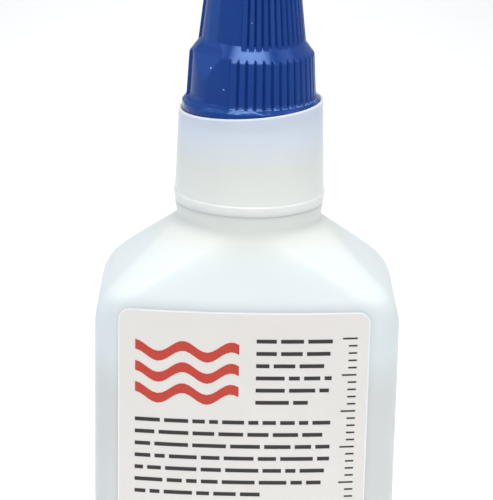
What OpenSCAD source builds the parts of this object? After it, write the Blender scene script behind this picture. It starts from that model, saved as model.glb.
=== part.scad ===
// Squeeze bottle for instant adhesive: blown flask, push-fit nozzle, ribbed screw cap with a sealing pin.
// The bottle stands on z = 0 with its axis on Z, and its labelled panel faces -Y.

/* [Bottle body] */
// Width across the panels
body_w = 39.8; // [38:0.2:44]
// Depth at the middle of the panels
body_d = 26.8; // [25:0.2:30]
// Height at which the side walls start to roll into the shoulder
body_h = 62.4; // [55:0.1:75]
// Radius of the bowed front and back panels
panel_r = 110; // [80:5:140]
// Radius of the upright corners
edge_r = 4.6; // [4:0.1:6]
// Wall thickness of the blown flask
wall = 1.1; // [0.8:0.05:1.4]
// Radius where the walls turn under to the base
base_round = 2.6; // [2:0.1:3.4]
// Thickness of the base
floor_t = 1.3; // [1:0.1:2]
// Depth of the hollow under the base
base_recess = 1.2; // [0.8:0.1:1.8]
// Width of the flat ring that the bottle stands on
foot_w = 2.2; // [1.5:0.1:3]

/* [Shoulder and neck] */
// Radius of the roll from side wall to shoulder
shoulder_r = 7.4; // [4:0.2:8.4]
// Slope of the shoulder sides, in degrees from level
shoulder_slope = 41.5; // [35:0.5:43]
// Height over which the front and back panels lean in to the neck
lean_h = 9.5; // [8:0.5:11]
// Half angle of the neck that each panel narrows to
neck_face = 25; // [20:1:45]
// Height of the flare between shoulder and neck root
flare_h = 0.6; // [0.4:0.05:1.2]
// Width of the flare between shoulder and neck root
flare_w = 0.9; // [0.6:0.1:1.5]
// Height of the bare neck root below the nozzle collar
root_h = 1.65; // [1.2:0.05:2]
// How much wider the neck root is at its top than at its foot
root_flare = 0.2; // [0:0.05:0.3]
// How far the neck root stays inside the collar's widest line
root_step = 0.4; // [0.3:0.05:0.9]
// Outer radius of the neck inside the collar
neck_r = 7.6; // [7.4:0.05:7.9]
// Height of the neck above its root
neck_h = 9.65; // [9:0.05:11]
// Wall thickness of the neck
neck_wall = 1.3; // [1.1:0.05:1.5]
// Height of the snap beads
bead_h = 1.2; // [0.9:0.1:1.4]
// How far the snap beads stand out
bead_out = 0.35; // [0.25:0.05:0.45]
// Height of the neck's snap bead above the root
bead_up = 5.5; // [4:0.1:6.5]

/* [Nozzle] */
// Wall thickness of the collar at its top
collar_wall = 1.35; // [1.2:0.05:1.5]
// How much wider the collar is at its lip than at its top
collar_flare = 0.55; // [0.4:0.05:0.8]
// Height of the collar's lip, where it curves in below its widest line
lip_h = 1.3; // [0.9:0.05:1.6]
// How far the lip curves in
lip_in = 0.2; // [0.15:0.01:0.5]
// Thickness of the deck that seats on the neck
deck_t = 1.5; // [1.2:0.1:2]
// Thickness of the rim round the cap's flange
rim_t = 0.3; // [0.25:0.01:0.4]
// Height of the rim above the deck at its middle
rim_h = 1.95; // [1.6:0.05:2.2]
// Slant of the rim, in degrees, down towards -X
rim_slant = 4.5; // [0:0.5:5]
// Depth of the plug that seals inside the neck
plug_h = 3.5; // [2.5:0.1:5]
// Wall thickness of the plug
plug_wall = 0.9; // [0.7:0.05:1.2]
// Core radius of the threaded boss
boss_r = 5.8; // [5.6:0.05:6]
// Height of the threaded boss
boss_h = 8.25; // [7:0.05:10]
// Wall thickness of the boss
boss_wall = 1.3; // [1:0.05:1.6]
// Chamfer at the top of the boss
boss_chamfer = 0.5; // [0.3:0.05:0.8]
// Outer radius of the spout at its foot
spout_r = 4; // [3.6:0.1:4.2]
// Wall thickness of the spout at its foot
spout_wall = 1.2; // [1:0.05:1.5]
// Height of the spout above the boss
spout_h = 20.4; // [16:0.2:26]
// Outer radius of the spout's tip
tip_r = 1.2; // [1.1:0.05:1.5]
// Radius of the orifice
orifice_r = 0.65; // [0.6:0.01:0.75]
// Length of the straight orifice
orifice_h = 7; // [6:0.1:9]

/* [Cap] */
// Height of the flange that sits inside the rim
flange_h = 2.6; // [2.2:0.1:3]
// Bevel of the flange's top edge
flange_bevel = 0.4; // [0.3:0.05:0.45]
// Depth of the screw thread's ridges
thread_out = 0.55; // [0.4:0.05:0.6]
// Wall thickness of the lower ring at its top
ring_wall = 1.25; // [1.2:0.01:1.3]
// How much wider the lower ring is at its foot than at its top
ring_draft = 0.37; // [0.2:0.01:0.4]
// Height of the ledge between lower ring and cone
ledge_h = 1.6; // [1.4:0.1:2.2]
// How far the ledge steps in
ledge_in = 1.18; // [1:0.01:1.3]
// Taper of the cone, in degrees from upright
cone_taper = 6.5; // [4:0.25:7]
// Wall thickness of the cone
cap_wall = 1.25; // [1.1:0.05:1.4]
// Thickness of the cap's roof
roof_t = 2.2; // [1.8:0.1:3]
// Rounding of the crown's edge
crown_round = 0.9; // [0.6:0.1:1.2]
// Ribs on each side of the lower ring
ring_ribs = 15; // [9:2:15]
// Ribs on each side of the cone
cone_ribs = 13; // [7:2:13]
// Angle from rib to rib
rib_pitch = 7.83; // [6:0.01:7.9]
// How far a rib stands out
rib_out = 0.34; // [0.15:0.01:0.36]
// Height above the flange at which the thumb facets start
facet_up = 2.4; // [1.5:0.1:3.4]
// Half angle that a thumb facet has opened to at the top of the ring
facet_half = 21.8; // [15:0.1:25]
// Depth of the flat that runs up the cone from each thumb facet
flat_in = 0.07; // [0.05:0.01:0.2]
// Direction that one thumb facet faces, in degrees from +X
facet_turn = 218; // [0:1:360]

/* [Sealing pin] */
// Radius of the pin
pin_r = 0.5; // [0.4:0.01:0.52]
// How far the pin reaches into the orifice
pin_reach = 5; // [3:0.1:6]
// How deep the pin is bedded in the roof
pin_bed = 0.8; // [0.5:0.1:1.1]
// Radius of the socket that holds the pin
socket_r = 1.6; // [1.3:0.05:2]
// Length of the socket below the roof
socket_h = 3.5; // [2.5:0.1:5]

/* [Label and contents] */
// Width of the label
label_w = 32.1; // [24:0.1:32.5]
// Height of the label
label_h = 57; // [40:0.5:60]
// Height of the label's top edge below the end of the upright panel
label_down = 0.4; // [0:0.05:4]
// Sideways shift of the label
label_shift = -0.4; // [-0.5:0.1:0.5]
// Radius of the label's corners
label_round = 1.4; // [0.8:0.1:3]
// Thickness of the label film
label_t = 0.1; // [0.06:0.01:0.2]
// Height of the liquid above the inside of the base
fill_h = 56; // [20:0.5:58]

/* [Hidden] */
$fn = 96;

// Clearances, cuts and joins
overrun = 1;
snap_gap = 0.1;
lip_gap = 0.15;
plug_gap = 0.08;
cap_gap = 0.12;
seat_gap = 0.2;
thread_gap = 0.15;
boss_gap = 0.4;
tip_gap = 0.3;
pin_gap = 0.03;
label_gap = 0.04;
fill_gap = 0.05;

// Steps along curves, and shares that shape the outlines
corner_n = 8;
panel_n = 10;
base_n = 4;
roll_n = 5;
slope_n = 4;
flare_n = 3;
arc_n = 6;
smooth_n = 10;
crown_n = 3;
facet_n = 6;
drop_share = 0.5;
lean_ease_share = 0.15;
recess_slope_share = 0.6;
rib_angle_shares = [-0.38, -0.2, 0.2, 0.38];
rib_height_shares = [0, 1, 1, 0];
rib_bevel_share = 1.6;
ring_over_share = 0.3;

// Levels and radii of the bottle
half_w = body_w / 2;
half_d = body_d / 2;
floor_z = base_recess + floor_t;
skirt_in_r = neck_r + bead_out + snap_gap;
collar_top_r = skirt_in_r + collar_wall;
collar_r = collar_top_r + collar_flare;
root_r = collar_r - root_step;
bore_r = neck_r - neck_wall;
roll_turn = 90 - shoulder_slope;
slope_w = half_w - shoulder_r * (1 - cos(roll_turn));
slope_z = body_h + shoulder_r * sin(roll_turn);
meet_z = slope_z + (slope_w - root_r) * tan(shoulder_slope);
flare_z = meet_z + flare_h;
lean_z = flare_z - lean_h;
root_z = flare_z + root_h;
neck_z = root_z + neck_h;
bead_z = root_z + bead_up;

// Levels and radii of the nozzle
lip_z = root_z + lip_gap;
lip_r = (lip_h * lip_h + lip_in * lip_in) / (2 * lip_in);
deck_z = neck_z + deck_t;
rim_z = deck_z + rim_h;
rim_rise = collar_top_r * tan(rim_slant);
rim_in_r = collar_top_r - rim_t;
hook_z = bead_z - bead_h - snap_gap;
plug_r = bore_r - plug_gap;
boss_z = deck_z + boss_h;
boss_in_r = boss_r - boss_wall;
spout_in_r = spout_r - spout_wall;
tip_z = boss_z + spout_h;

// Levels and radii of the cap
cap_z = deck_z + seat_gap;
flange_z = cap_z + flange_h;
flange_r = rim_in_r - cap_gap;
cap_bore_r = boss_r + thread_out + thread_gap;
cap_bore_z = boss_z + boss_gap;
ring_top_r = cap_bore_r + ring_wall;
ring_r = ring_top_r + ring_draft;
ring_z = cap_bore_z + ledge_h * ring_over_share;
bevel_h = rib_out * rib_bevel_share;
foot_h = rib_out * ledge_h / ledge_in;
ledge_z = ring_z + ledge_h;
cone_r = ring_top_r - ledge_in;
roof_z = tip_z + tip_gap + socket_h;
cap_top = roof_z + roof_t;
crown_z = cap_top - crown_round;
cone_in_r = cone_r - cap_wall;
cone_in_z = cap_bore_z + cap_bore_r - cone_in_r;
facet_z = flange_z + facet_up;

// Straight ramp from 0 to 1 with eased ends, which the leaning panels follow
function ramp(t) =
    let (u = min(1, max(0, t)), e = lean_ease_share)
    2 * u > 1 ? 1 - ramp(1 - u) : u < e ? u * u / (2 * e * (1 - e)) : (2 * u - e) / (2 - 2 * e);

// Radii of the collar, the cone, the lower ring and the ledge at a height
function collar_at(z) = collar_top_r + collar_flare * (rim_z - z) / (rim_z - lip_z - lip_h);
function cone_at(z) = cone_r - (z - ledge_z) * tan(cone_taper);
function ring_at(z) = ring_r - ring_draft * (z - flange_z) / (ring_z - flange_z);
function ledge_at(z) = ring_top_r - ledge_in * (z - ring_z) / ledge_h;

// Distance of a thumb facet from the axis: its chord widens evenly up the ring and meets the cone's flat
function facet_at(z) =
    max(min(ring_at(z), ledge_at(z)) * cos(facet_half * (z - facet_z) / (ring_z - facet_z)),
        cone_at(z) - flat_in);

// Points of an arc about a centre, from one angle to another
function arc(centre, r, from, to) =
    [for (i = [0 : arc_n]) let (q = from + (to - from) * i / arc_n)
        centre + r * [cos(q), sin(q)]];

// Closed oblong outline at half width a, half depth b and corner radius c, with bowed panels
function oblong(a, b, c) =
    let (tilt = asin((a - c) / (panel_r - c)),
        flat = (panel_r - c) * cos(tilt) - panel_r + b,
        right = [for (i = [0 : corner_n]) let (q = (90 - tilt) * i / corner_n)
            [a - c + c * cos(q), flat + c * sin(q)]],
        back = [for (i = [1 : panel_n - 1]) let (q = tilt * (1 - 2 * i / panel_n))
            [panel_r * sin(q), b - panel_r + panel_r * cos(q)]],
        left = [for (i = [corner_n : -1 : 0]) [-right[i][0], right[i][1]]],
        half = concat(right, back, left))
    concat(half, [for (p = half) -p]);

// Upright stretch of the flask, brought in by an inset all round
function inset_section(inset) =
    oblong(half_w - inset, half_d - inset, edge_r * (1 - inset / half_d));

// Circle with as many points as an outline of the flask, where each panel has the share neck_face gives it
function round_section(r) =
    let (corner = [for (i = [0 : corner_n]) (90 - neck_face) * (2 * i + 1) / (2 * corner_n + 1)],
        panel = [for (i = [1 : panel_n - 1]) 90 + neck_face * (2 * i / panel_n - 1)],
        half = concat(corner, panel, [for (i = [corner_n : -1 : 0]) 180 - corner[i]]))
    [for (side = [0, 180]) for (q = half) r * [cos(side + q), sin(side + q)]];

// Outline of the flask that turns from an oblong to an ellipse as t goes from 0 to 1
function turned_section(a, b, c, t) =
    let (from = oblong(a, b, c), to = round_section(1))
    [for (i = [0 : len(from) - 1]) from[i] * (1 - t) + [a * to[i][0], b * to[i][1]] * t];

// Rings of the turn from a level base up into the walls
function base_rings(inset, z, r) =
    [for (i = [0 : base_n]) let (q = 90 * i / base_n)
        [z + r * (1 - cos(q)), inset_section(inset + r * (1 - sin(q)))]];

// Outline of the shoulder seen from the front, as pairs of height and half width
function shoulder_path() = concat(
    [for (i = [0 : roll_n]) let (q = roll_turn * i / roll_n)
        [body_h + shoulder_r * sin(q), half_w - shoulder_r * (1 - cos(q))]],
    [for (i = [1 : slope_n]) let (t = i / slope_n, w = slope_w + (root_r + flare_w - slope_w) * t)
        [slope_z + (slope_w - w) * tan(shoulder_slope), w]],
    [for (i = [1 : flare_n]) let (t = i / flare_n)
        [meet_z - flare_w * tan(shoulder_slope) * (1 - t) * (1 - t) + flare_h * t * t,
            root_r + flare_w * (1 - t) * (1 - t)]]);

// Rings of the shoulder: the panels lean in and the section turns round as it nears the neck
function shoulder_rings(inset) =
    [for (p = shoulder_path())
        let (t = ramp((p[0] - lean_z) / lean_h), d = half_d + (root_r - half_d) * t)
        [p[0] - inset * drop_share,
            turned_section(p[1] - inset, d - inset, edge_r * (1 - inset / half_d), t * t)]];

// Solid between rings that have equal counts of points
module loft(rings) {
    n = len(rings[0][1]);
    m = len(rings);
    polyhedron(
        points = [for (r = rings) for (p = r[1]) [p[0], p[1], r[0]]],
        faces = concat(
            [[for (j = [0 : n - 1]) j]],
            [[for (j = [n - 1 : -1 : 0]) (m - 1) * n + j]],
            [for (i = [0 : m - 2]) for (j = [0 : n - 1]) let (k = (j + 1) % n)
                [i * n + j, (i + 1) * n + j, (i + 1) * n + k]],
            [for (i = [0 : m - 2]) for (j = [0 : n - 1]) let (k = (j + 1) % n)
                [i * n + j, (i + 1) * n + k, i * n + k]]));
}

// Ring of triangular section that stands out of a wall at radius r (in, where out is negative)
module bead(r, z, out) {
    half = bead_h / 2;
    rotate_extrude()
        polygon([[r - out, z - half], [r, z - half], [r + out, z], [r, z + half], [r - out, z + half]]);
}

module bottle_outside() {
    loft(concat(base_rings(0, 0, base_round), shoulder_rings(0),
        [[root_z, round_section(root_r + root_flare)]]));
    translate([0, 0, root_z - wall]) cylinder(h = neck_h + wall, r = neck_r);
    bead(neck_r, bead_z, bead_out);
}

module bottle_inside() {
    loft(concat(base_rings(wall, floor_z, base_round - wall), shoulder_rings(wall),
        [[root_z - wall, round_section(bore_r - wall)]]));
    translate([0, 0, slope_z]) cylinder(h = neck_z - slope_z + overrun, r = bore_r);
}

module base_hollow() {
    inset = base_round + foot_w;
    foot = inset_section(inset);
    loft([[-overrun, foot], [0, foot], [base_recess, inset_section(inset + foot_w * recess_slope_share)]]);
}

module bottle() {
    color("#e3edf0")
    difference() {
        bottle_outside();
        bottle_inside();
        base_hollow();
    }
}

// Half section of the nozzle below its rim: collar, deck, plug, boss and spout in one moulding
module nozzle_profile() {
    polygon(concat(
        [[skirt_in_r, lip_z]],
        arc([collar_r - lip_r, lip_z + lip_h], lip_r, -asin(lip_h / lip_r), 0),
        [[collar_at(deck_z), deck_z], [boss_r, deck_z], [boss_r, boss_z - boss_chamfer],
            [boss_r - boss_chamfer, boss_z], [spout_r, boss_z], [tip_r, tip_z],
            [orifice_r, tip_z], [orifice_r, tip_z - orifice_h],
            [spout_in_r, boss_z - boss_wall], [boss_in_r, boss_z - boss_wall],
            [boss_in_r, deck_z], [plug_r - plug_wall, neck_z],
            [plug_r - plug_wall, neck_z - plug_h], [plug_r, neck_z - plug_h], [plug_r, neck_z],
            [skirt_in_r, neck_z], [skirt_in_r, hook_z + bead_h / 2],
            [skirt_in_r - bead_out, hook_z], [skirt_in_r, hook_z - bead_h / 2]]));
}

// Thin rim round the cap's flange, cut on a slant
module nozzle_rim() {
    high_z = rim_z + rim_rise;
    difference() {
        rotate_extrude()
            polygon([[rim_in_r, deck_z], [collar_at(deck_z), deck_z],
                [collar_at(high_z), high_z], [rim_in_r, high_z]]);
        translate([0, 0, rim_z]) rotate([0, -rim_slant, 0])
            translate([-body_w, -body_w, 0]) cube([body_w * 2, body_w * 2, rim_h + rim_rise]);
    }
}

module nozzle() {
    color("#d3dae0") {
        rotate_extrude() nozzle_profile();
        nozzle_rim();
    }
}

// Outline of the cap at plain radius r, with the middle ribs of each side standing out
function cap_ring(r, out, ribs) =
    let (middle = (ring_ribs - 1) / 2,
        start = 90 - (middle + rib_angle_shares[3]) * rib_pitch)
    [for (side = [0, 180]) each concat(
        [for (i = [1 : smooth_n - 1]) let (q = side - start + 2 * start * i / smooth_n)
            r * [cos(q), sin(q)]],
        [for (i = [-middle : middle]) for (k = [0 : 3])
            let (q = side + 90 + (i + rib_angle_shares[k]) * rib_pitch,
                live = abs(i) * 2 < ribs ? rib_height_shares[k] : 0)
            (r + out * live) * [cos(q), sin(q)]])];

// Rings of the cap's outside: flange, ribbed ring, ledge, ribbed cone and crown
module cap_outside() {
    crown_r = cone_at(crown_z);
    loft(concat(
        [[cap_z, cap_ring(flange_r, 0, 0)],
            [flange_z - flange_bevel, cap_ring(flange_r, 0, 0)],
            [flange_z, cap_ring(flange_r - flange_bevel, 0, 0)],
            [flange_z, cap_ring(ring_r, rib_out, ring_ribs)],
            [ring_z, cap_ring(ring_top_r, rib_out, ring_ribs)],
            [ring_z + bevel_h, cap_ring(ledge_at(ring_z + bevel_h), 0, 0)],
            [ledge_z - foot_h, cap_ring(ledge_at(ledge_z - foot_h), 0, 0)],
            [ledge_z, cap_ring(cone_r, rib_out, cone_ribs)],
            [crown_z - crown_round, cap_ring(cone_at(crown_z - crown_round), rib_out, cone_ribs)]],
        [for (i = [0 : crown_n]) let (q = 90 * i / crown_n)
            [crown_z + crown_round * sin(q), cap_ring(crown_r - crown_round * (1 - cos(q)), 0, 0)]]));
}

module cap_inside() {
    roof_r = cone_in_r - (roof_z - cone_in_z) * tan(cone_taper);
    rotate_extrude()
        polygon([[0, cap_z - overrun], [cap_bore_r, cap_z - overrun], [cap_bore_r, cap_bore_z],
            [cone_in_r, cone_in_z], [roof_r, roof_z], [0, roof_z]]);
}

// Cut of one thumb facet: a hollow ramp with a V outline on the ring, then a shallow flat up the cone
module thumb_facet() {
    out = ring_r + overrun;
    step = (ledge_z - facet_z) / facet_n;
    rotate([90, 0, 0]) translate([0, 0, -out]) linear_extrude(height = out * 2)
        polygon(concat(
            [for (i = [0 : facet_n]) let (z = facet_z + step * i) [facet_at(z), z]],
            [[cone_at(cap_top) - flat_in, cap_top], [out, cap_top], [out, facet_z]]));
}

module overcap() {
    color("#244a8e")
    rotate([0, 0, facet_turn])
    difference() {
        union() {
            difference() {
                cap_outside();
                cap_inside();
                for (side = [0, 180]) rotate([0, 0, side]) thumb_facet();
            }
            translate([0, 0, tip_z + tip_gap]) cylinder(h = socket_h + roof_t / 2, r = socket_r);
        }
        translate([0, 0, tip_z]) cylinder(h = tip_gap + socket_h + pin_bed, r = pin_r + pin_gap);
    }
}

module sealing_pin() {
    color("#b9bcc0")
    translate([0, 0, tip_z - pin_reach])
        cylinder(h = pin_reach + tip_gap + socket_h + pin_bed, r = pin_r);
}

// Rectangle with round corners, centred on the origin
module rounded_rectangle(w, h, r) {
    square([w - r * 2, h], center = true);
    square([w, h - r * 2], center = true);
    for (x = [-1, 1]) for (y = [-1, 1])
        translate([x * (w / 2 - r), y * (h / 2 - r)]) circle(r);
}

// Strip that follows the front panel at an offset and runs one step past both of its ends
module panel_strip(gap, t) {
    tilt = asin((half_w - edge_r) / (panel_r - edge_r));
    turns = [for (i = [-1 : panel_n + 1]) tilt * (2 * i / panel_n - 1)];
    translate([0, panel_r - half_d])
        polygon(concat(
            [for (q = turns) (panel_r + gap + t) * [sin(q), -cos(q)]],
            [for (i = [len(turns) - 1 : -1 : 0]) (panel_r + gap) * [sin(turns[i]), -cos(turns[i])]]));
}

module label() {
    color("#e5e7e4")
    intersection() {
        linear_extrude(height = root_z) panel_strip(label_gap, label_t);
        translate([label_shift, -half_d + edge_r, lean_z - label_down - label_h / 2]) rotate([90, 0, 0])
            linear_extrude(height = edge_r + overrun) rounded_rectangle(label_w, label_h, label_round);
    }
}

module adhesive() {
    inset = wall + fill_gap;
    color("#dfe4df")
    loft(concat(base_rings(inset, floor_z + fill_gap, base_round - wall),
        [[floor_z + fill_h, inset_section(inset)]]));
}

bottle();
nozzle();
overcap();
sealing_pin();
label();
adhesive();
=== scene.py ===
# %% [markdown]
# # A glue bottle with a ribbed screw cap
# The real thing is a small flask of blown polyethylene for instant adhesive. A nozzle is pushed on its
# neck, a ribbed blue cap screws down over the nozzle, and a steel pin in the cap keeps the spout open.
# The CAD model fixes every place and size. This script loads it as a frame, then builds each piece again
# with the round edges, ribs, threads and finishes that the solids leave out.

# %% Load the CAD frame
import math
import random

import bpy
from mathutils import Matrix, Vector


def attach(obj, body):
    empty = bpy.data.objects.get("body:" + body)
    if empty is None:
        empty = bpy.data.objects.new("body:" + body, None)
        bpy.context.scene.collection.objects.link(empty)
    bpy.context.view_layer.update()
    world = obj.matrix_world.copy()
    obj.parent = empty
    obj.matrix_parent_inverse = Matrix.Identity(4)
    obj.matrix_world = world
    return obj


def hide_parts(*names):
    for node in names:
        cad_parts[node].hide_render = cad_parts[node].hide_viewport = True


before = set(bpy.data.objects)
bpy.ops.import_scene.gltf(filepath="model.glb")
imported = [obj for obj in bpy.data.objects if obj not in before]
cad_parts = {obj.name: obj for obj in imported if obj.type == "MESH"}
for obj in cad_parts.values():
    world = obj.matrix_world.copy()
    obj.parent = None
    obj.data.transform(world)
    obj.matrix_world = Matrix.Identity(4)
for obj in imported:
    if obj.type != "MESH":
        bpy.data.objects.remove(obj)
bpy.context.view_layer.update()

MM = 0.001

# %% [markdown]
# ## Camera
# The camera comes first, so that every later step can be judged in the photograph's own frame. The bottle
# is seen from the front and a little above, from close by, with a long lens. A camera can be aimed with a
# constraint, but here its three axes are written out, because the photograph is also rolled by a degree.

# %% Place the camera
# The picture's height and the focal length are in pixels, the camera's place is in mm from the neck's axis
PHOTO_H_PX = 500
FOCAL_PX = 2255
SENSOR_MM = 36
CAMERA_FAR = 300
CAMERA_RISE = math.radians(17.3)
CAMERA_TURN = math.radians(-0.58)
CAMERA_ROLL = math.radians(1.15)
CAMERA_SIDE = 0.2
AIM_Z = 70
CLIP_NEAR = 10

back = Vector((math.sin(CAMERA_TURN) * math.cos(CAMERA_RISE),
               -math.cos(CAMERA_TURN) * math.cos(CAMERA_RISE), math.sin(CAMERA_RISE)))
level = Vector((0, 0, 1)).cross(back).normalized()
rise = back.cross(level)
right = math.cos(CAMERA_ROLL) * level + math.sin(CAMERA_ROLL) * rise
upward = back.cross(right)
spot = (CAMERA_FAR * back - CAMERA_SIDE * level + Vector((0, 0, AIM_Z))) * MM

lens = bpy.data.cameras.new("camera")
lens.sensor_width = SENSOR_MM
lens.lens = FOCAL_PX * SENSOR_MM / PHOTO_H_PX
lens.clip_start = CLIP_NEAR * MM
camera = bpy.data.objects.new("camera", lens)
bpy.context.collection.objects.link(camera)
camera.matrix_world = Matrix.Translation(spot) @ Matrix((right, upward, back)).transposed().to_4x4()
bpy.context.scene.camera = camera
print("camera at", [round(v, 4) for v in spot], "with a lens of", round(lens.lens, 1), "mm")

# %% [markdown]
# ## Node helper
# Every finish below is a small tree of shader nodes. One function adds a node, sets it and links it, so
# that a finish reads as a list of what goes into what. Colours are written as the hex values that a picture
# shows and are turned to the linear values that a renderer works with.


# %% Helpers for the finishes
def linear(hex_colour):
    """Linear RGBA of an sRGB hex colour."""
    parts = [int(hex_colour[i:i + 2], 16) / 255 for i in (1, 3, 5)]
    return (*[c / 12.92 if c <= 0.04045 else ((c + 0.055) / 1.055) ** 2.4 for c in parts], 1)


def add(tree, kind, inputs=None, **settings):
    """Adds one shader node: settings are its own options, inputs are values or other nodes' outputs."""
    node = tree.nodes.new("ShaderNode" + kind)
    for name, value in settings.items():
        setattr(node, name, value)
    for socket, value in (inputs or {}).items():
        if isinstance(value, bpy.types.NodeSocket):
            tree.links.new(value, node.inputs[socket])
        else:
            node.inputs[socket].default_value = value
    return node


def finish(name, **values):
    """A material with its node tree, its shader and the piece's own coordinates in metres."""
    material = bpy.data.materials.new(name)
    material.use_nodes = True
    tree = material.node_tree
    shader = tree.nodes["Principled BSDF"]
    for socket, value in values.items():
        shader.inputs[socket.replace("_", " ")].default_value = value
    place = add(tree, "TexCoord").outputs["Object"]
    return material, tree, shader, place


# Sockets of the Mix node when it mixes colours
MIX_FACTOR, MIX_A, MIX_B, MIX_OUT = 0, 6, 7, 2


def per_mm(size_mm):
    """Texture scale that gives features of a size in mm."""
    return 1 / (size_mm * MM)


print("linear value of mid grey:", round(linear("#808080")[0], 3), "scale of a 1 mm pattern:", per_mm(1))


# %% [markdown]
# ## Floor and light
# The photograph is a product shot on pure white. A bright dome over a wide pale floor would give that
# white, but the glossy cap would mirror it and turn pale. So the sky gives only half of the light, and a
# box overhead, with a grid that keeps its beam narrow, adds the rest behind the bottle, where the picture
# needs it. A long box high in front is what the sloping ledge of the cap mirrors. Faint boxes at the sides
# light the hips of the shoulder, two more low in front fill the upright walls, and a low blue one on the
# left tints the thumb facet, as a window would.

# %% Floor
# Backdrop paper is matt, and its tone drifts a little over the width of a hand
FLOOR_HALF = 2.5
PAPER_DRIFT_MM = 40

floor_paper, tree, shader, place = finish("backdrop_paper", Roughness=0.9)
clouding = add(tree, "TexNoise", {"Vector": place, "Scale": per_mm(PAPER_DRIFT_MM)}).outputs["Fac"]
tone = add(tree, "ValToRGB", {"Fac": clouding}).outputs["Color"]
ramp = tone.node.color_ramp
ramp.elements[0].color = linear("#fbfbfb")
ramp.elements[1].color = linear("#ffffff")
tree.links.new(tone, shader.inputs["Base Color"])

floor_corners = [(x * FLOOR_HALF, y * FLOOR_HALF, 0) for x, y in ((-1, -1), (1, -1), (1, 1), (-1, 1))]
floor_mesh = bpy.data.meshes.new("floor")
floor_mesh.from_pydata(floor_corners, [], [(0, 1, 2, 3)])
floor = bpy.data.objects.new("floor", floor_mesh)
bpy.context.collection.objects.link(floor)
floor_mesh.materials.append(floor_paper)
print("floor:", FLOOR_HALF * 2, "m square")

# %% Sky and soft boxes
SKY_COLOUR, SKY_STRENGTH = "#e7f1fe", 0.435
MIDDLE = (0, 0, 0.07)

sky = bpy.data.worlds.new("studio")
sky.use_nodes = True
glow = sky.node_tree.nodes["Background"].inputs
glow["Color"].default_value = linear(SKY_COLOUR)
glow["Strength"].default_value = SKY_STRENGTH
bpy.context.scene.world = sky
bpy.context.scene.view_settings.view_transform = "Standard"

# Name, place and aim in metres, width and height in metres, opening of the grid in degrees, watts, colour
SOFT_BOXES = (
    ("top_box", (0, 0.50, 0.66), (0, 0.50, 0), 0.34, 1.20, 60, 1.02, "#fffaf2"),
    ("front_box", (-0.02, -0.31, 0.68), MIDDLE, 0.80, 0.09, 90, 0.78, "#fdfdff"),
    ("left_box", (-0.52, -0.05, 0.46), MIDDLE, 0.28, 0.34, 60, 0.045, "#f2f8ff"),
    ("right_box", (0.52, -0.05, 0.46), MIDDLE, 0.28, 0.34, 60, 0.043, "#f2f8ff"),
    ("fill_box", (0, -0.9, 0.34), MIDDLE, 1.0, 0.4, 60, 0.14, "#ffffff"),
    ("low_box", (0.7, -0.6, 0.3), MIDDLE, 0.5, 0.4, 60, 0.08, "#ffffff"),
    ("window", (-0.74, 0.30, 0.13), MIDDLE, 0.50, 0.30, 60, 0.055, "#70b8ff"),
)
for name, stand, aim, wide, tall, grid, watts, colour in SOFT_BOXES:
    lamp = bpy.data.lights.new(name, "AREA")
    lamp.shape = "RECTANGLE"
    lamp.size, lamp.size_y = wide, tall
    lamp.spread = math.radians(grid)
    lamp.energy = watts
    lamp.color = linear(colour)[:3]
    box = bpy.data.objects.new(name, lamp)
    bpy.context.collection.objects.link(box)
    box.location = stand
    box.rotation_euler = (Vector(stand) - Vector(aim)).to_track_quat("Z", "Y").to_euler()
print("soft boxes:", [row[0] for row in SOFT_BOXES])

# %% [markdown]
# ## Building meshes
# Most pieces here are blown or turned, so they are skins drawn through rings of points. A skin closes on a
# point in the middle of its first and last ring, or runs round in a loop, as in the nozzle with its bore.
# A modelled edge is never quite sharp, so sections are listed as corners with a radius each.


# %% Helpers for the meshes
SHARP = math.radians(38)
MOST_OF_SIDE = 0.45


def skin(rings, looped=False):
    """Points and faces of a surface through rings of equal counts of points."""
    n, m = len(rings[0]), len(rings)
    points = [point for ring in rings for point in ring]
    pairs = [(i, i + 1) for i in range(m - 1)] + ([(m - 1, 0)] if looped else [])
    faces = [(a * n + j, a * n + (j + 1) % n, b * n + (j + 1) % n, b * n + j)
             for a, b in pairs for j in range(n)]
    for i, step in () if looped else ((0, -1), (m - 1, 1)):
        pole = len(points)
        points.append(tuple(sum(axis) / n for axis in zip(*rings[i])))
        faces += [(pole, i * n + j, i * n + (j + step) % n) for j in range(n)]
    return points, faces


def rounded(corners, looped=False, steps=4):
    """Path in a plane through corners (x, z, radius), with each corner turned into a short curve."""
    path = []
    for i, (x, z, radius) in enumerate(corners):
        here = Vector((x, z))
        if not radius or (not looped and i in (0, len(corners) - 1)):
            path.append(here)
            continue
        before = Vector(corners[i - 1][:2]) - here
        after = Vector(corners[(i + 1) % len(corners)][:2]) - here
        most = min(before.length * MOST_OF_SIDE, after.length * MOST_OF_SIDE)
        reach = min(radius / math.tan(before.angle(after) / 2), most)
        start, end = here + before.normalized() * reach, here + after.normalized() * reach
        for t in (s / steps for s in range(steps + 1)):
            path.append(start * (1 - t) ** 2 + here * 2 * t * (1 - t) + end * t ** 2)
    return path


def make_piece(name, parts, material, body, slot, *nodes):
    """Object from skins in mm, which rides on a body, takes a finish and may stand for CAD nodes. The slot
    is not used.
    """
    points, faces = [], []
    for more_points, more_faces in parts:
        faces += [tuple(k + len(points) for k in face) for face in more_faces]
        points += more_points
    mesh = bpy.data.meshes.new(name)
    mesh.from_pydata([Vector(point) * MM for point in points], [], faces)
    mesh.shade_smooth()
    mesh.set_sharp_from_angle(angle=SHARP)
    mesh.materials.append(material)
    piece = bpy.data.objects.new(name, mesh)
    bpy.context.collection.objects.link(piece)
    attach(piece, body)
    if nodes:
        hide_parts(*nodes)
    low, high = [[pick(axis) for axis in zip(*points)] for pick in (min, max)]
    print(name, len(faces), "faces, mm from", [round(v, 2) for v in low], "to", [round(v, 2) for v in high])
    return piece


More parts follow.
